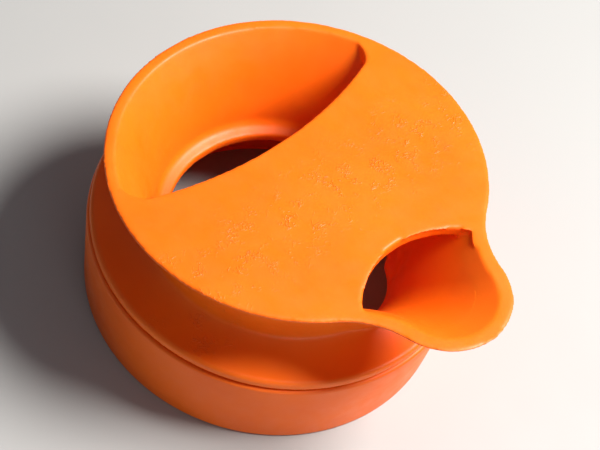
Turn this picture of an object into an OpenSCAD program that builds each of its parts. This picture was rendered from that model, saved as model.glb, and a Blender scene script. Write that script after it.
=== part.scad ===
// Wide-mouth pour spout: a screw collar that swivels under a flared bowl with a pouring lip.
// Origin: centre of the collar's foot. +Z is up and +X is the way the lip points.

/* [Rim and lip] */
// Outside radius of the rim and of the collar's foot
rim_r = 35; // [34.8:0.1:35.6]
// Height of the rim's centre above the foot
rim_z = 38.1; // [37:0.1:40]
// Slope of the rim, rising towards the lip, in degrees
rim_tilt = 3.6; // [0:0.1:5]
// Wall thickness at the rim
rim_wall = 2.5; // [2:0.1:2.8]
// Distance of the lip's centre from the axis
lip_x = 36.05; // [34:0.05:38]
// Outside radius of the lip's rounded end
lip_r = 12.75; // [12:0.05:13.5]
// Wall thickness round the lip
lip_wall = 3.2; // [2.6:0.1:3.6]
// How much the lip is hollowed half way down its channel
lip_sag = 4.2; // [3:0.1:4.5]
// Radius of the hollow curves between the rim and the lip
lip_fillet = 16.6; // [14:0.1:20]

/* [Cover] */
// Thickness of the cover
cover_t = 2.5; // [2:0.1:3]
// Radius of the crescent opening's long edge
chord_r = 81; // [70:1:100]
// Where that edge crosses the middle, measured back from the axis
chord_back = 5.2; // [4:0.1:8]
// Corner radius of the crescent opening
crescent_corner_r = 5.2; // [4:0.1:6]
// Radius of the cover's edge over the pouring channel
brow_r = 17.9; // [17:0.1:19]
// Where that edge crosses the middle, measured forwards from the axis
brow_x = 23.6; // [22:0.1:26]
// Depth of the locating rib under the cover
rib_h = 1.3; // [0.8:0.1:2]

/* [Bowl and shoulder] */
// Height of the bowl's floor
floor_z = 17.9; // [17.9:0.1:18.3]
// Thickness of the floor
floor_t = 2; // [1.6:0.1:2.2]
// Radius of the hole in the floor
floor_hole_r = 21; // [18:0.1:21.5]
// Inside radius of the bowl at its floor
bowl_floor_r = 23.6; // [23:0.1:24.2]
// Radius of the hollow curve between the bowl's wall and its floor
floor_fillet = 2.2; // [1:0.1:2.3]
// Outside radius of the waist under the bowl
waist_r = 27; // [26.6:0.1:28]
// Outside radius of the shoulder
shoulder_r = 35.5; // [34.5:0.1:35.7]
// Height of the shoulder's straight side
shoulder_side = 2; // [1.5:0.1:2.5]
// Centre of the channel's lower mouth, forwards from the axis
mouth_x = 13.3; // [12.8:0.1:13.4]
// Radius of the channel's lower mouth
mouth_r = 11.5; // [11:0.1:11.5]

/* [Collar] */
// Height of the collar
collar_h = 17.8; // [17.6:0.1:17.8]
// Outside radius of the collar at its top edge
collar_top_r = 35.9; // [35.6:0.1:36.2]
// Free bore radius inside the collar's thread
thread_bore_r = 30.3; // [30.3:0.05:30.6]
// Radius at the bottom of the thread's groove
thread_root_r = 31.5; // [31.3:0.1:31.8]
// Thread pitch, six turns to the inch
thread_pitch = 4.233; // [4:0.001:4.5]
// Number of thread turns
thread_turns = 2; // [1.5:0.25:2]
// Thickness of the collar's inward lip
collar_lip_t = 3.6; // [3:0.1:4]

/* [Swivel neck] */
// Outside radius of the neck, the journal that the collar turns on
neck_r = 27.6; // [27.5:0.1:27.8]
// Bore radius of the neck
neck_bore_r = 25.2; // [25:0.1:25.3]
// Radial running clearance between the neck and the collar
run_gap = 0.06; // [0.03:0.01:0.1]
// Axial play of the collar, above and below its lip
end_play = 0.3; // [0.2:0.05:0.4]
// Outside radius of the neck's foot flange
foot_r = 29.8; // [29.4:0.1:29.9]
// Thickness of the foot flange
foot_t = 2; // [1.6:0.1:2.2]
// Section radius of the seal ring in the neck
seal_r = 0.55; // [0.4:0.05:0.55]
// Thickness of the mouth gasket
gasket_t = 1.4; // [1:0.1:1.5]

/* [Hidden] */
$fn = 96;
// a length that carries a cutter clear of the surface that it cuts, and one that sinks a face into a solid
over = 1;
sink = 0.3;
// the collar's lip, and what the axial play leaves round it
lip_under_z = collar_h - collar_lip_t;
shoulder_z = collar_h + end_play;
foot_top_z = lip_under_z - end_play;
foot_z = foot_top_z - foot_t;
shoulder_top_z = shoulder_z + shoulder_side;
// the plug under the bowl fits inside the neck's wall, down to a step with the seal ring below it
neck_wall = 1.1;
plug_r = neck_r - neck_wall;
plug_z = foot_top_z + 2 * seal_r;
// depth from the rim's plane to the floor, along the axis
bowl_depth = rim_z - floor_z;
// the lofts are built from this many points round each level
rim_points = 52;
fillet_points = 6;
lip_points = 20;
levels = 8;
// how sharply the bowl flares outside and inside, and the channel's wall at its lower mouth
flare_out = 1.6;
flare_in = 1.8;
mouth_wall = 2.3;
// a narrow ledge between the channel's end and its round mouth in the floor
mouth_ledge = 0.25;
// at every level the lip's circle reaches at least this far past the bowl's circle
poke = 0.4;
// a hollow curve of this height carries the shoulder up to the waist, which ends the flare
blend_h = 3.2;
waist_depth = rim_z - shoulder_top_z - blend_h;

// ---- rim and lip outline: a circle round the axis, a lip circle and a hollow fillet on each side ----

// x of the fillet's centre, which lies at rb + rf from the axis and lr + rf from the lip's centre
function fillet_x(rb, lx, lr, rf) = (lx * lx + pow(rb + rf, 2) - pow(lr + rf, 2)) / (2 * lx);
function fillet_y(rb, lx, lr, rf) = sqrt(pow(rb + rf, 2) - pow(fillet_x(rb, lx, lr, rf), 2));

function arc(cx, cy, r, a0, a1, n) = [
    for (i = [0:n - 1]) let (a = a0 + (a1 - a0) * i / n) [cx + r * cos(a), cy + r * sin(a)]
];

// the whole outline as points, anticlockwise from the lip's lower flank
function outline(rb, lx, lr, rf) =
    let (
        fx = fillet_x(rb, lx, lr, rf),
        fy = fillet_y(rb, lx, lr, rf),
        on_lip = atan2(fy, fx - lx),
        on_rim = atan2(fy, fx)
    )
    concat(
        arc(lx, 0, lr, -on_lip, on_lip, lip_points),
        arc(fx, fy, rf, on_lip + 180, on_rim + 180, fillet_points),
        arc(0, 0, rb, on_rim, 360 - on_rim, rim_points),
        arc(fx, -fy, rf, 180 - on_rim, 180 - on_lip, fillet_points)
    );

// ---- levels of the bowl, each named by its depth d below the rim's plane ----

function mix(a, b, t) = a + (b - a) * t;
// how far a depth lies between the cover's underside and the floor
function below(d) = max(0, (d - cover_t) / (bowl_depth - cover_t));
// the levels tilt with the rim down to the cover's underside and are flat at the floor
function level_tilt(d) = rim_tilt * (1 - below(d));
function level_x(d) = cover_t * sin(rim_tilt) * (d < cover_t ? d / cover_t : 1 - below(d));
function place(p, d) = [
    level_x(d) + p[0] * cos(level_tilt(d)),
    p[1],
    rim_z - d + p[0] * sin(level_tilt(d))
];

// how far a depth lies between the rim and the floor
function down(d) = d / bowl_depth;
// the lip's circle is smaller half way down than a straight channel's, so the lip is hollowed like a spoon
function spoon(d) = 4 * lip_sag * down(d) * (1 - down(d));
// a hollow curve ends the wall at the floor
function floor_hollow(d) =
    let (rise = min(1, (bowl_depth - d) / floor_fillet)) floor_fillet * (1 - sqrt(1 - pow(1 - rise, 2)));

// outside: the bowl narrows to the waist, and the lip runs back into it
function bowl_out(d) =
    mix(waist_r, rim_r, pow(1 - min(1, d / waist_depth), flare_out));
function lip_out_x(d) = mix(lip_x, mouth_x, down(d));
function lip_out_r(d) =
    max(mix(lip_r, mouth_r + mouth_wall, down(d)) - spoon(d), bowl_out(d) - lip_out_x(d) + poke);
// inside: the bowl narrows to its floor, and the channel runs from the lip to its lower mouth
function bowl_in(d) = mix(bowl_floor_r, rim_r - rim_wall, pow(1 - down(d), flare_in)) - floor_hollow(d);
function lip_in_x(d) = mix(lip_x, mouth_x, down(d));
function lip_in_r(d) =
    max(mix(lip_r - lip_wall, mouth_r + mouth_ledge, down(d)) - spoon(d), bowl_in(d) - lip_in_x(d) + poke);

function outside_at(d) = [
    for (p = outline(bowl_out(d), lip_out_x(d), lip_out_r(d), lip_fillet)) place(p, d)
];
function inside_at(d) = [
    for (p = outline(bowl_in(d), lip_in_x(d), lip_in_r(d), lip_fillet + lip_wall)) place(p, d)
];

// a closed solid through a list of rings that all have the same number of points; looking from the first
// ring towards the last, the points run anticlockwise
module loft(rings) {
    n = len(rings[0]);
    last = len(rings) - 1;
    points = [for (ring = rings) each ring];
    sides = [
        for (k = [0:last - 1], i = [0:n - 1])
            let (j = (i + 1) % n, a = k * n + i, b = k * n + j)
            each [[a, b, b + n], [a, b + n, a + n]]
    ];
    top = [[for (i = [n - 1:-1:0]) i]];
    bottom = [[for (i = [0:n - 1]) last * n + i]];
    polyhedron(points, concat(sides, top, bottom), convexity = 6);
}

module rim_frame() {
    translate([0, 0, rim_z]) rotate([0, -rim_tilt, 0]) children();
}

// the room inside the bowl and its channel, from just above the rim down to the floor
module inside_room() {
    loft(concat(
        [inside_at(-over), inside_at(0)],
        [for (k = [0:levels]) inside_at(mix(cover_t, bowl_depth, k / levels))]
    ));
}

// ---- parts ----

// groove for the bottle's thread, entering at the foot and running out at its upper end
module thread_groove() {
    steps = 48;
    count = steps * thread_turns;
    // turns below the foot at the start, and the steps over which the end fades
    start = 0.15;
    runout = 6;
    least = 0.05;
    // half widths of the groove at its bottom and inside the bore
    bottom_half = 0.85;
    mouth_half = 1.6;
    inner_r = thread_bore_r - 0.4;
    function groove_ring(i) =
        let (
            a = 360 * i / steps,
            z = thread_pitch * (i / steps - start),
            deep = mix(thread_bore_r, thread_root_r, min(1, (count - i) / runout + least))
        )
        [for (q = [[inner_r, -mouth_half], [deep, -bottom_half], [deep, bottom_half], [inner_r, mouth_half]])
            [q[0] * cos(a), q[0] * sin(a), z + q[1]]];
    loft([for (i = [0:count]) groove_ring(i)]);
}

module threaded_collar() {
    edge = 0.5;
    // the thread's bore ends in a wider relief, just below the gasket
    relief_r = thread_bore_r + 0.6;
    relief_z = foot_z - gasket_t - 0.9;
    color("darkorange") difference() {
        rotate_extrude() polygon([
            [neck_r + run_gap, lip_under_z], [relief_r, lip_under_z], [relief_r, relief_z],
            [thread_bore_r, relief_z], [thread_bore_r, 0],
            [rim_r - edge / 2, 0], [rim_r, edge / 2], [collar_top_r, collar_h - edge],
            [collar_top_r - edge, collar_h], [neck_r + run_gap, collar_h]
        ]);
        thread_groove();
    }
}

module swivel_neck() {
    edge = 0.3;
    color("darkorange") rotate_extrude() polygon([
        [neck_bore_r, foot_z], [foot_r - edge, foot_z], [foot_r, foot_z + edge],
        [foot_r, foot_top_z - edge], [foot_r - edge, foot_top_z], [neck_r, foot_top_z],
        [neck_r, shoulder_z], [plug_r, shoulder_z], [plug_r, foot_top_z], [neck_bore_r, foot_top_z]
    ]);
}

module neck_seal() {
    ring_r = (neck_bore_r + plug_r) / 2;
    color("dimgray") rotate_extrude() translate([ring_r, foot_top_z + seal_r]) circle(seal_r, $fn = 32);
}

module mouth_gasket() {
    bead_r = 0.4;
    beads = [27.9, 29];
    inner_r = neck_bore_r + 0.2;
    color("dimgray") union() {
        translate([0, 0, foot_z - gasket_t]) difference() {
            cylinder(h = gasket_t, r = foot_r);
            translate([0, 0, -over]) cylinder(h = gasket_t + 2 * over, r = inner_r);
        }
        for (r = beads)
            rotate_extrude() translate([r, foot_z - gasket_t]) circle(bead_r, $fn = 32);
    }
}

module shoulder() {
    soft = 0.6;
    edge_r = shoulder_r - soft;
    // the curve runs on inside the bowl's wall, so that it crosses the wall's face
    blend_r = waist_r - 0.5;
    rotate_extrude() polygon(concat(
        [
            [floor_hole_r, floor_z - floor_t], [neck_bore_r, floor_z - floor_t], [neck_bore_r, plug_z],
            [plug_r, plug_z], [plug_r, shoulder_z], [shoulder_r, shoulder_z],
            [shoulder_r, shoulder_top_z - soft]
        ],
        [for (a = [0:10:90]) [mix(edge_r, blend_r, sin(a)), shoulder_top_z + blend_h * (1 - cos(a))]],
        [[floor_hole_r, shoulder_top_z + blend_h]]
    ));
}

module spout_body() {
    low = bowl_depth - over;
    under_floor_z = floor_z - floor_t - over;
    color("orange") difference() {
        union() {
            shoulder();
            loft([for (k = [0:levels]) outside_at(mix(cover_t, low, k / levels))]);
        }
        inside_room();
        translate([0, 0, under_floor_z]) cylinder(h = floor_t + 2 * over, r = floor_hole_r);
        translate([mouth_x, 0, under_floor_z]) cylinder(h = floor_t + 2 * over, r = mouth_r);
    }
}

// opening over the pouring channel at a depth: the room's outline in front of the cover's brow
function front_at(d) =
    let (
        lx = lip_in_x(d),
        rf = lip_fillet + lip_wall,
        fx = fillet_x(bowl_in(d), lx, lip_in_r(d), rf),
        fy = fillet_y(bowl_in(d), lx, lip_in_r(d), rf),
        on_lip = atan2(fy, fx - lx),
        // the brow's circle meets the fillet's circle at the opening's corner
        bx = brow_x + brow_r,
        apart = norm([fx - bx, fy]),
        along = (brow_r * brow_r - rf * rf + apart * apart) / (2 * apart),
        across = sqrt(brow_r * brow_r - along * along),
        corner = [bx, 0] + ([fx - bx, fy] * along + [-fy, fx - bx] * across) / apart,
        on_brow = atan2(corner[1], corner[0] - bx),
        on_fillet = 360 + atan2(corner[1] - fy, corner[0] - fx)
    )
    [for (p = concat(
        arc(lx, 0, lip_in_r(d), -on_lip, on_lip, lip_points),
        arc(fx, fy, rf, on_lip + 180, on_fillet, fillet_points),
        arc(bx, 0, brow_r, on_brow, 360 - on_brow, lip_points),
        arc(fx, -fy, rf, 360 - on_fillet, 180 - on_lip, fillet_points)
    )) place(p, d)];

// crescent opening at a depth: the bowl's inside circle cut by the long arc, with round corners
function crescent_at(d) =
    let (
        chord_x = -chord_back - chord_r,
        reach = bowl_in(d) - crescent_corner_r,
        cx = (pow(chord_r - crescent_corner_r, 2) - reach * reach - chord_x * chord_x) / (-2 * chord_x),
        cy = sqrt(reach * reach - cx * cx),
        on_arc = atan2(cy, cx - chord_x),
        on_rim = atan2(cy, cx)
    )
    [for (p = concat(
        arc(chord_x, 0, chord_r, -on_arc, on_arc, lip_points),
        arc(cx, cy, crescent_corner_r, on_arc, on_rim, fillet_points),
        arc(0, 0, bowl_in(d), on_rim, 360 - on_rim, lip_points),
        arc(cx, -cy, crescent_corner_r, 360 - on_rim, 360 - on_arc, fillet_points)
    )) place(p, d)];

// panel with both openings, whose outer walls follow the bowl's sloping wall
module top_cover() {
    // two ribs stand just inside the bowl's wall, from one angle to the other on each side
    rib_gap = 0.2;
    rib_r = bowl_in(cover_t + rib_h) - rib_gap;
    rib_w = 1.2;
    rib_from = 46;
    rib_to = 104;
    color("orange") union() {
        difference() {
            loft([outside_at(0), outside_at(cover_t)]);
            loft([crescent_at(-over), crescent_at(cover_t + over)]);
            loft([front_at(-over), front_at(cover_t + over)]);
        }
        rim_frame() for (start = [rib_from, -rib_to])
            rotate(start) translate([0, 0, -cover_t - rib_h]) rotate_extrude(angle = rib_to - rib_from)
                translate([rib_r - rib_w, 0]) square([rib_w, rib_h + sink]);
    }
}

threaded_collar();
swivel_neck();
neck_seal();
mouth_gasket();
spout_body();
top_cover();
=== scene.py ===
"""Looks for the wide-mouth pour spout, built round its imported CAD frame.

Shapes are given in millimetres, and MM turns them into the scene's metres.
"""

import math

import bmesh
import bpy
from mathutils import Matrix, Vector


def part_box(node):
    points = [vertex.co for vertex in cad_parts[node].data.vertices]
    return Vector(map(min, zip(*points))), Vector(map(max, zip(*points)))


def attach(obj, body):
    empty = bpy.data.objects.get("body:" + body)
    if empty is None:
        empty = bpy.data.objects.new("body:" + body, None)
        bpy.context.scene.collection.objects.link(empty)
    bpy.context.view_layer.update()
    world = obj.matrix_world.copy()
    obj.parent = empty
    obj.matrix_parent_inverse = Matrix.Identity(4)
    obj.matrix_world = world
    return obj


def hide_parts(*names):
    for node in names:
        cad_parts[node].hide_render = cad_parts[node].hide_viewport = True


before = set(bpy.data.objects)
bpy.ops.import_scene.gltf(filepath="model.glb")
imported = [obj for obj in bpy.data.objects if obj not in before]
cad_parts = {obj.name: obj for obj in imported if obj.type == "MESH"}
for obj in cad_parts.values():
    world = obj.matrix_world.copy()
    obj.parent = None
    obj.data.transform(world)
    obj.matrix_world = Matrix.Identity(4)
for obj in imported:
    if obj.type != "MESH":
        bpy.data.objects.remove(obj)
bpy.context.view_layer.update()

MM = 0.001

# ---- sizes of the moulding, the same as in the CAD source ----
RIM_R, RIM_Z, RIM_TILT, RIM_WALL = 35.0, 38.1, math.radians(3.6), 2.5
LIP_X, LIP_R, LIP_WALL, LIP_FILLET = 36.05, 12.75, 3.2, 16.6
COVER_T, CHORD_R, CHORD_BACK, CORNER_R = 2.5, 81.0, 5.2, 5.2
BROW_R, BROW_X = 17.9, 23.6
FLOOR_Z, FLOOR_T, FLOOR_HOLE_R, BOWL_FLOOR_R = 17.9, 2.0, 21.0, 23.6
WAIST_R, SHOULDER_R = 27.0, 35.5
SHOULDER_Z, SHOULDER_TOP_Z, BLEND_H = 18.1, 20.1, 3.2
MOUTH_X, MOUTH_R, MOUTH_WALL, MOUTH_LEDGE = 13.3, 11.5, 2.3, 0.25
FLARE_OUT, FLARE_IN, LIP_SAG, FLOOR_FILLET, POKE = 1.6, 1.8, 4.2, 2.2, 0.4
NECK_BORE_R, PLUG_R, PLUG_Z = 25.2, 26.5, 15.0
BOWL_DEPTH = RIM_Z - FLOOR_Z
WAIST_DEPTH = RIM_Z - SHOULDER_TOP_Z - BLEND_H

# collar, measured on its CAD node where the node gives the size
COLLAR_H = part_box("threaded_collar")[1].z / MM
COLLAR_TOP_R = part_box("threaded_collar")[1].y / MM
COLLAR_LIP_Z, COLLAR_BORE_R = 14.2, 27.66
THREAD_BORE_R, THREAD_ROOT_R, RELIEF_R, RELIEF_Z = 30.3, 31.5, 30.9, 9.6
THREAD_PITCH, THREAD_TURNS = 4.233, 2

# mesh density: points on a full circle, on each arc of an outline, and levels down the bowl
ROUND_POINTS = 220
RIM_POINTS, LIP_POINTS, FILLET_POINTS, CRESCENT_POINTS = 150, 60, 24, 80
CORNER_STEPS, HOLLOW_STEPS = 6, 16
LEVELS = 36
VOXEL = 0.3
SOFTEN_STEPS = 11
SHARP_ANGLE = 40
# how far a cutter reaches past what it cuts, and how far the crescent's cutter reaches into the wall
OVER = 1.0
SINK = 0.3
# radius that covers the whole part
WIDE = 2 * RIM_R
# round nose along the rim's and the lip's top edge
NOSE = 0.8
NOSE_STEPS = 6


# ---- mesh helpers ----
def make_object(name, points, faces):
    """A mesh object from points in millimetres, with its faces turned outwards."""
    mesh = bpy.data.meshes.new(name)
    mesh.from_pydata([Vector(p) * MM for p in points], [], faces)
    bm = bmesh.new()
    bm.from_mesh(mesh)
    bmesh.ops.recalc_face_normals(bm, faces=bm.faces)
    bm.to_mesh(mesh)
    bm.free()
    obj = bpy.data.objects.new(name, mesh)
    bpy.context.scene.collection.objects.link(obj)
    return obj


def loft(name, rings):
    """A closed solid through rings that all have the same number of points."""
    n, last = len(rings[0]), len(rings) - 1
    points = [p for ring in rings for p in ring]
    faces = [[k * n + i, k * n + (i + 1) % n, (k + 1) * n + (i + 1) % n, (k + 1) * n + i]
             for k in range(last) for i in range(n)]
    faces += [list(range(n)), list(range(last * n, last * n + n))]
    return make_object(name, points, faces)


def lathe(name, profile, count=ROUND_POINTS):
    """A closed ring turned from a closed profile of (radius, height) points."""
    m = len(profile)
    turn = [2 * math.pi * k / count for k in range(count)]
    points = [(r * math.cos(a), r * math.sin(a), z) for a in turn for r, z in profile]
    faces = [[k * m + i, k * m + (i + 1) % m, (k + 1) % count * m + (i + 1) % m, (k + 1) % count * m + i]
             for k in range(count) for i in range(m)]
    return make_object(name, points, faces)


def apply_modifiers(obj):
    done = bpy.data.meshes.new_from_object(obj.evaluated_get(bpy.context.evaluated_depsgraph_get()))
    obj.modifiers.clear()
    obj.data = done


def combine(obj, tool, operation, keep_tool=False):
    step = obj.modifiers.new("combine", "BOOLEAN")
    step.object, step.operation, step.solver = tool, operation, "MANIFOLD"
    apply_modifiers(obj)
    if not keep_tool:
        bpy.data.objects.remove(tool)


def soften(obj, voxel, steps):
    """Rounds every edge a little, as a moulding's edges are."""
    remesh = obj.modifiers.new("even", "REMESH")
    remesh.mode, remesh.voxel_size = "VOXEL", voxel * MM
    smooth = obj.modifiers.new("soft", "SMOOTH")
    smooth.factor, smooth.iterations = 0.5, steps
    apply_modifiers(obj)


def shade_smooth(obj, angle):
    for p in obj.data.polygons:
        p.use_smooth = True
    obj.data.set_sharp_from_angle(angle=math.radians(angle))


# ---- outlines ----
def arc(cx, cy, r, start, end, count):
    """Points on a circle from one angle towards the other, without the last."""
    return [(cx + r * math.cos(start + (end - start) * i / count),
             cy + r * math.sin(start + (end - start) * i / count)) for i in range(count)]


def outline(rb, lx, lr, rf):
    """Rim circle and lip circle, joined by a hollow fillet on each side."""
    fx = (lx * lx + (rb + rf) ** 2 - (lr + rf) ** 2) / (2 * lx)
    fy = math.sqrt((rb + rf) ** 2 - fx * fx)
    on_lip, on_rim = math.atan2(fy, fx - lx), math.atan2(fy, fx)
    full = 2 * math.pi
    return (arc(lx, 0, lr, -on_lip, on_lip, LIP_POINTS)
            + arc(fx, fy, rf, on_lip + math.pi, on_rim + math.pi, FILLET_POINTS)
            + arc(0, 0, rb, on_rim, full - on_rim, RIM_POINTS)
            + arc(fx, -fy, rf, math.pi - on_rim, math.pi - on_lip, FILLET_POINTS))


def crescent():
    """The rim's inside circle cut by the long arc, with round corners."""
    inner, chord_x = RIM_R - RIM_WALL + SINK, -CHORD_BACK - CHORD_R
    reach = inner - CORNER_R
    cx = ((CHORD_R - CORNER_R) ** 2 - reach ** 2 - chord_x ** 2) / (-2 * chord_x)
    cy = math.sqrt(reach ** 2 - cx ** 2)
    on_arc, on_rim = math.atan2(cy, cx - chord_x), math.atan2(cy, cx)
    full = 2 * math.pi
    return (arc(chord_x, 0, CHORD_R, -on_arc, on_arc, LIP_POINTS)
            + arc(cx, cy, CORNER_R, on_arc, on_rim, FILLET_POINTS)
            + arc(0, 0, inner, on_rim, full - on_rim, CRESCENT_POINTS)
            + arc(cx, -cy, CORNER_R, full - on_rim, full - on_arc, FILLET_POINTS))


# ---- levels of the bowl, each named by its depth below the rim's plane ----
def mix(a, b, t):
    return a + (b - a) * t


def below(d):
    """0 down to the cover's underside, 1 at the floor."""
    return max(0.0, (d - COVER_T) / (BOWL_DEPTH - COVER_T))


def place(p, d):
    """A point of a level's outline, put where the level lies.

    The levels tilt with the rim and flatten towards the floor.
    """
    tilt = RIM_TILT * (1 - below(d))
    shift = COVER_T * math.sin(RIM_TILT) * (d / COVER_T if d < COVER_T else 1 - below(d))
    return (shift + p[0] * math.cos(tilt), p[1], RIM_Z - d + p[0] * math.sin(tilt))


def down(d):
    """0 at the rim's plane, 1 at the floor."""
    return d / BOWL_DEPTH


def spoon(d):
    """How much smaller the lip's circle is than a straight channel's, most of it half way down."""
    return 4 * LIP_SAG * down(d) * (1 - down(d))


def floor_hollow(d):
    """How far the round corner at the floor stands out from the bowl's wall."""
    rise = min(1.0, max(0.0, (BOWL_DEPTH - d) / FLOOR_FILLET))
    return FLOOR_FILLET * (1 - math.sqrt(1 - (1 - rise) ** 2))


def nose(d):
    """How far the rim's round top edge draws back."""
    rise = min(1.0, max(0.0, 1 - d / NOSE))
    return NOSE * (1 - math.sqrt(1 - rise ** 2))


def section(d, bowl, lip_top, lip_end, fillet):
    lip_x = mix(LIP_X, MOUTH_X, down(d))
    lip_r = max(mix(lip_top, lip_end, down(d)) - spoon(d), bowl - lip_x + POKE)
    return [place(p, d) for p in outline(bowl, lip_x, lip_r, fillet)]


def outside_at(d):
    bowl = mix(WAIST_R, RIM_R, (1 - min(1.0, d / WAIST_DEPTH)) ** FLARE_OUT) - nose(d)
    return section(d, bowl, LIP_R - nose(d), MOUTH_R + MOUTH_WALL, LIP_FILLET + nose(d))


def inside_at(d):
    bowl = mix(BOWL_FLOOR_R, RIM_R - RIM_WALL, (1 - down(d)) ** FLARE_IN) - floor_hollow(d)
    return section(d, bowl, LIP_R - LIP_WALL, MOUTH_R + MOUTH_LEDGE, LIP_FILLET + LIP_WALL)


def depths(first, last):
    return [mix(first, last, k / LEVELS) for k in range(LEVELS + 1)]


def nosed_depths(last):
    round_part = [NOSE * (1 - math.cos(math.pi / 2 * k / NOSE_STEPS)) for k in range(NOSE_STEPS)]
    return round_part + depths(NOSE, last)


def prism(name, points, low, high):
    """A prism across the rim's plane, between two heights measured from that plane."""
    lift = Matrix.Translation((0, 0, RIM_Z)) @ Matrix.Rotation(-RIM_TILT, 4, "Y")
    return loft(name, [[lift @ Vector((x, y, h)) for x, y in points] for h in (low, high)])


def disc(r, x=0.0):
    return arc(x, 0, r, 0, 2 * math.pi, ROUND_POINTS)


def drum(name, x, r, low, high):
    return loft(name, [[(px, py, z) for px, py in disc(r, x)] for z in (low, high)])


# ---- spout: one moulding in shape, then parted at the cover's underside ----
def shoulder_solid():
    # the hollow curve ends inside the bowl's wall
    soft, into_wall = 0.7, 0.5
    edge_r, blend_r = SHOULDER_R - soft, WAIST_R - into_wall
    side = [(edge_r + soft * math.cos(a), SHOULDER_TOP_Z - soft + soft * math.sin(a))
            for a in [math.pi / 2 * k / CORNER_STEPS for k in range(CORNER_STEPS)]]
    sweep = [math.pi / 2 * k / HOLLOW_STEPS for k in range(HOLLOW_STEPS + 1)]
    hollow = [(mix(edge_r, blend_r, math.sin(a)), SHOULDER_TOP_Z + BLEND_H * (1 - math.cos(a)))
              for a in sweep]
    profile = [(FLOOR_HOLE_R, FLOOR_Z - FLOOR_T), (NECK_BORE_R, FLOOR_Z - FLOOR_T), (NECK_BORE_R, PLUG_Z),
               (PLUG_R, PLUG_Z), (PLUG_R, SHOULDER_Z), (SHOULDER_R, SHOULDER_Z)]
    return lathe("shoulder", profile + side + hollow + [(FLOOR_HOLE_R, SHOULDER_TOP_Z + BLEND_H)])


def brow_cutter():
    """In front of the brow, the panel is cut away inside the room."""
    return prism("brow", disc(BROW_R, BROW_X + BROW_R), -COVER_T - OVER, 2 * OVER)


def build_spout():
    levels = nosed_depths(BOWL_DEPTH - OVER)
    spout = loft("spout_body_moulding", [outside_at(d) for d in levels])
    combine(spout, shoulder_solid(), "UNION")
    room = loft("room", [inside_at(d) for d in [-OVER] + depths(0.0, BOWL_DEPTH)])
    panel = prism("panel", disc(WIDE), -COVER_T, 0.0)
    slab = loft("slab", [outside_at(d) for d in [-OVER] + nosed_depths(COVER_T + OVER)])
    combine(panel, slab, "INTERSECT")
    combine(panel, prism("crescent", crescent(), -COVER_T - OVER, OVER), "DIFFERENCE")
    brow = brow_cutter()
    combine(brow, room, "INTERSECT", keep_tool=True)
    combine(panel, brow, "DIFFERENCE")
    combine(spout, room, "DIFFERENCE")
    under = FLOOR_Z - FLOOR_T - OVER
    combine(spout, drum("hole", 0, FLOOR_HOLE_R, under, FLOOR_Z + OVER), "DIFFERENCE")
    combine(spout, drum("mouth", MOUTH_X, MOUTH_R, under, FLOOR_Z + OVER), "DIFFERENCE")
    combine(spout, panel, "UNION")
    soften(spout, VOXEL, SOFTEN_STEPS)
    cover = spout.copy()
    cover.data = spout.data.copy()
    cover.name = "top_cover_moulding"
    bpy.context.scene.collection.objects.link(cover)
    upper = prism("upper", disc(WIDE), -COVER_T, 4 * OVER)
    combine(cover, upper, "INTERSECT", keep_tool=True)
    combine(spout, upper, "DIFFERENCE")
    return spout, cover


# ---- collar ----
def groove_ring(i, steps, count):
    """One section of the thread's groove. It starts below the foot, and runs out at its far end."""
    start, runout, least = 0.15, 6, 0.05
    bottom_half, mouth_half, proud = 0.85, 1.6, 0.4
    inner = THREAD_BORE_R - proud
    a, z = 2 * math.pi * i / steps, THREAD_PITCH * (i / steps - start)
    deep = mix(THREAD_BORE_R, THREAD_ROOT_R, min(1.0, (count - i) / runout + least))
    corners = [(inner, -mouth_half), (deep, -bottom_half), (deep, bottom_half), (inner, mouth_half)]
    return [(r * math.cos(a), r * math.sin(a), z + h) for r, h in corners]


def build_collar():
    edge = 0.6
    foot_r, top_r = RIM_R, COLLAR_TOP_R
    quarter = [math.pi / 2 * k / CORNER_STEPS for k in range(CORNER_STEPS + 1)]
    foot = [(foot_r - edge + edge * math.sin(a), edge - edge * math.cos(a)) for a in quarter]
    top = [(top_r - edge + edge * math.cos(a), COLLAR_H - edge + edge * math.sin(a)) for a in quarter]
    profile = [(COLLAR_BORE_R, COLLAR_LIP_Z), (RELIEF_R, COLLAR_LIP_Z), (RELIEF_R, RELIEF_Z),
               (THREAD_BORE_R, RELIEF_Z), (THREAD_BORE_R, 0)] + foot + top + [(COLLAR_BORE_R, COLLAR_H)]
    collar = lathe("threaded_collar_moulding", profile)
    steps = 90
    count = steps * THREAD_TURNS
    combine(collar, loft("groove", [groove_ring(i, steps, count) for i in range(count + 1)]), "DIFFERENCE")
    return collar


# ---- materials ----
def node(tree, kind, **values):
    made = tree.nodes.new(kind)
    for key, value in values.items():
        if hasattr(made, key):
            setattr(made, key, value)
        else:
            made.inputs[key].default_value = value
    return made


def scaled(tree, coords, scale, detail=3.0, roughness=0.55, distortion=0.0):
    noise = node(tree, "ShaderNodeTexNoise", Scale=scale, Detail=detail, Roughness=roughness,
                 Distortion=distortion)
    tree.links.new(coords, noise.inputs["Vector"])
    return noise.outputs["Fac"]


def spread(tree, value, low, high, to_low, to_high):
    m = node(tree, "ShaderNodeMapRange")
    for name, number in (("From Min", low), ("From Max", high), ("To Min", to_low), ("To Max", to_high)):
        m.inputs[name].default_value = number
    tree.links.new(value, m.inputs["Value"])
    return m.outputs["Result"]


def maths(tree, operation, a, b):
    m = node(tree, "ShaderNodeMath", operation=operation)
    for i, v in enumerate((a, b)):
        if isinstance(v, (int, float)):
            m.inputs[i].default_value = v
        else:
            tree.links.new(v, m.inputs[i])
    return m.outputs[0]


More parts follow.
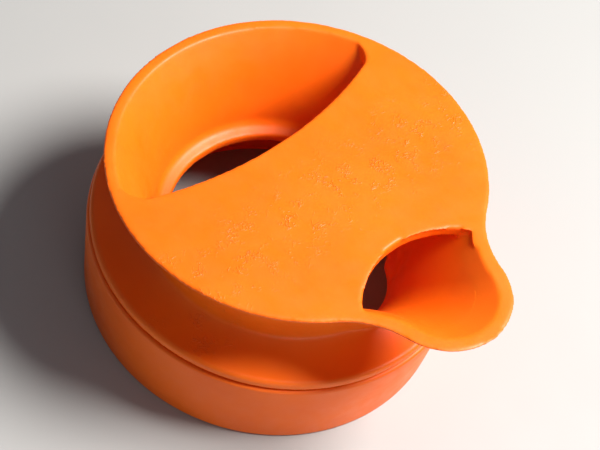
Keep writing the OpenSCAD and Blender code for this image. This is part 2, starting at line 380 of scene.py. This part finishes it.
def bump(tree, height, strength, distance, before=None):
    b = node(tree, "ShaderNodeBump", Strength=strength, Distance=distance * MM)
    tree.links.new(height, b.inputs["Height"])
    if before is not None:
        tree.links.new(before, b.inputs["Normal"])
    return b.outputs["Normal"]


def flow_marks(tree, coords):
    """Short curling marks and pits, thickest in a band across the cover."""
    band_x, band_half, outside_band = 0.009, 0.011, 0.05
    curl_scale, curl_bend, curl_width, patch_scale = 780, 0.8, 0.05, 330
    split = node(tree, "ShaderNodeSeparateXYZ")
    tree.links.new(coords, split.inputs[0])
    away = maths(tree, "ABSOLUTE", maths(tree, "SUBTRACT", split.outputs["X"], band_x), 0)
    band = spread(tree, away, 0.0, band_half, 1.0, outside_band)
    noise = scaled(tree, coords, curl_scale, 2.0, 0.5, curl_bend)
    ridge = maths(tree, "ABSOLUTE", maths(tree, "SUBTRACT", noise, 0.5), 0)
    curls = spread(tree, ridge, 0.0, curl_width, 1.0, 0.0)
    patches = spread(tree, scaled(tree, coords, patch_scale, 3.0), 0.5, 0.6, 0.0, 1.0)
    return maths(tree, "MULTIPLY", maths(tree, "MULTIPLY", curls, patches), band)


def new_material(name):
    """A new material with its node tree, its shader and the object's own coordinates."""
    mat = bpy.data.materials.new(name)
    mat.use_nodes = True
    tree = mat.node_tree
    return mat, tree, tree.nodes["Principled BSDF"], node(tree, "ShaderNodeTexCoord").outputs["Object"]


def two_tone(tree, shader, amount, dark, light):
    # colour sockets of a Mix node
    factor_in, first_in, second_in, colour_out = 0, 6, 7, 2
    tone = node(tree, "ShaderNodeMix", data_type="RGBA")
    tree.links.new(amount, tone.inputs[factor_in])
    tone.inputs[first_in].default_value = (*dark, 1)
    tone.inputs[second_in].default_value = (*light, 1)
    tree.links.new(tone.outputs[colour_out], shader.inputs["Base Color"])


def rough_between(tree, shader, noise, least, most):
    tree.links.new(spread(tree, noise, 0.3, 0.7, least, most), shader.inputs["Roughness"])


def plastic(name, dark, light, marks):
    tone_scale, gloss_scale, grain_scale, ripple_scale = 70, 260, 2600, 95
    mat, tree, shader, coords = new_material(name)
    two_tone(tree, shader, spread(tree, scaled(tree, coords, tone_scale), 0.3, 0.7, 0.0, 1.0), dark, light)
    rough_between(tree, shader, scaled(tree, coords, gloss_scale), 0.36, 0.52)
    grain = bump(tree, scaled(tree, coords, grain_scale, 4.0), 0.25, 0.05)
    ripple = bump(tree, scaled(tree, coords, ripple_scale, 2.0), 0.3, 0.12, grain)
    marked = bump(tree, flow_marks(tree, coords), marks, 0.12, ripple)
    tree.links.new(marked, shader.inputs["Normal"])
    shader.inputs["IOR"].default_value = 1.49
    shader.inputs["Specular IOR Level"].default_value = 0.3
    shader.inputs["Subsurface Weight"].default_value = 0.12
    shader.inputs["Subsurface Radius"].default_value = (1.0, 0.35, 0.1)
    shader.inputs["Subsurface Scale"].default_value = 0.0015
    return mat


def rubber(name):
    tone_scale, gloss_scale, grain_scale = 300, 900, 3000
    mat, tree, shader, coords = new_material(name)
    two_tone(tree, shader, scaled(tree, coords, tone_scale), (0.012, 0.012, 0.013), (0.03, 0.03, 0.03))
    rough_between(tree, shader, scaled(tree, coords, gloss_scale), 0.55, 0.8)
    tree.links.new(bump(tree, scaled(tree, coords, grain_scale, 4.0), 0.3, 0.04), shader.inputs["Normal"])
    return mat


def floor_material():
    gloss_scale = 40
    mat, tree, shader, coords = new_material("pale_floor")
    shader.inputs["Base Color"].default_value = (0.40, 0.40, 0.395, 1)
    rough_between(tree, shader, scaled(tree, coords, gloss_scale), 0.6, 0.75)
    return mat


# ---- object ----
spout_plastic = plastic("spout_plastic", (0.90, 0.135, 0.003), (0.94, 0.16, 0.005), 0.8)
collar_plastic = plastic("collar_plastic", (0.86, 0.12, 0.003), (0.91, 0.145, 0.005), 0.2)
seal_rubber = rubber("seal_rubber")

body_piece, cover_piece = build_spout()
collar_piece = build_collar()
for piece, cad_node, body, slot_name, material in (
    (body_piece, "spout_body", "spout", "spout_plastic", spout_plastic),
    (cover_piece, "top_cover", "spout", "spout_plastic", spout_plastic),
    (collar_piece, "threaded_collar", "collar", "collar_plastic", collar_plastic),
):
    piece.data.materials.clear()
    piece.data.materials.append(material)
    shade_smooth(piece, SHARP_ANGLE)
    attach(piece, body)
    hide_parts(cad_node)

for cad_node, slot_name, material in (
    ("swivel_neck", "collar_plastic", collar_plastic),
    ("neck_seal", "seal_rubber", seal_rubber),
    ("mouth_gasket", "seal_rubber", seal_rubber),
):
    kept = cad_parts[cad_node]
    kept.data.materials.clear()
    kept.data.materials.append(material)


# ---- camera, floor and light ----
AZIMUTH, ELEVATION, ROLL = math.radians(32.2), math.radians(53.7), math.radians(17.8)
# camera place in rim radii, along its own right, up and back
ASIDE, ABOVE, AWAY = 0.2016, 0.2850, 9.489

back = Vector((math.sin(AZIMUTH) * math.cos(ELEVATION), -math.cos(AZIMUTH) * math.cos(ELEVATION),
               math.sin(ELEVATION)))
level = (-back).cross(Vector((0, 0, 1))).normalized()
raised = level.cross(-back)
right = level * math.cos(ROLL) + raised * math.sin(ROLL)
up = -level * math.sin(ROLL) + raised * math.cos(ROLL)


def in_view(across, along, towards):
    """A point given along the camera's right, up and back from the origin, in metres."""
    return right * across + up * along + back * towards


def build_camera():
    data = bpy.data.cameras.new("camera")
    data.lens, data.sensor_width, data.sensor_fit = 102.0, 36.0, "HORIZONTAL"
    data.clip_start = 0.01
    camera = bpy.data.objects.new("camera", data)
    turn = Matrix((right, up, back)).transposed()
    camera.matrix_world = Matrix.Translation(in_view(ASIDE, ABOVE, AWAY) * RIM_R * MM) @ turn.to_4x4()
    bpy.context.scene.collection.objects.link(camera)
    bpy.context.scene.camera = camera


def area_light(name, place_at, size, power, colour):
    """A round soft light that faces the origin."""
    data = bpy.data.lights.new(name, "AREA")
    data.shape, data.size, data.energy, data.color = "DISK", size, power, colour
    lamp = bpy.data.objects.new(name, data)
    lamp.location = place_at
    lamp.rotation_euler = (-place_at).to_track_quat("-Z", "Y").to_euler()
    bpy.context.scene.collection.objects.link(lamp)


def build_stage():
    half = 1500
    floor = make_object("floor", [(-half, -half, 0), (half, -half, 0), (half, half, 0), (-half, half, 0)],
                        [[0, 1, 2, 3]])
    floor.data.materials.append(floor_material())
    world = bpy.data.worlds.new("soft_room")
    world.use_nodes = True
    world.node_tree.nodes["Background"].inputs["Color"].default_value = (0.9, 0.93, 1.0, 1)
    world.node_tree.nodes["Background"].inputs["Strength"].default_value = 0.16
    bpy.context.scene.world = world
    bpy.context.scene.view_settings.view_transform = "Standard"
    area_light("key", in_view(0.38, 0.22, 0.32), 0.24, 6.6, (1.0, 0.97, 0.93))
    area_light("fill", in_view(0.25, -0.5, 0.35), 0.4, 1.3, (0.92, 0.96, 1.0))


build_camera()
build_stage()

bpy.context.view_layer.update()
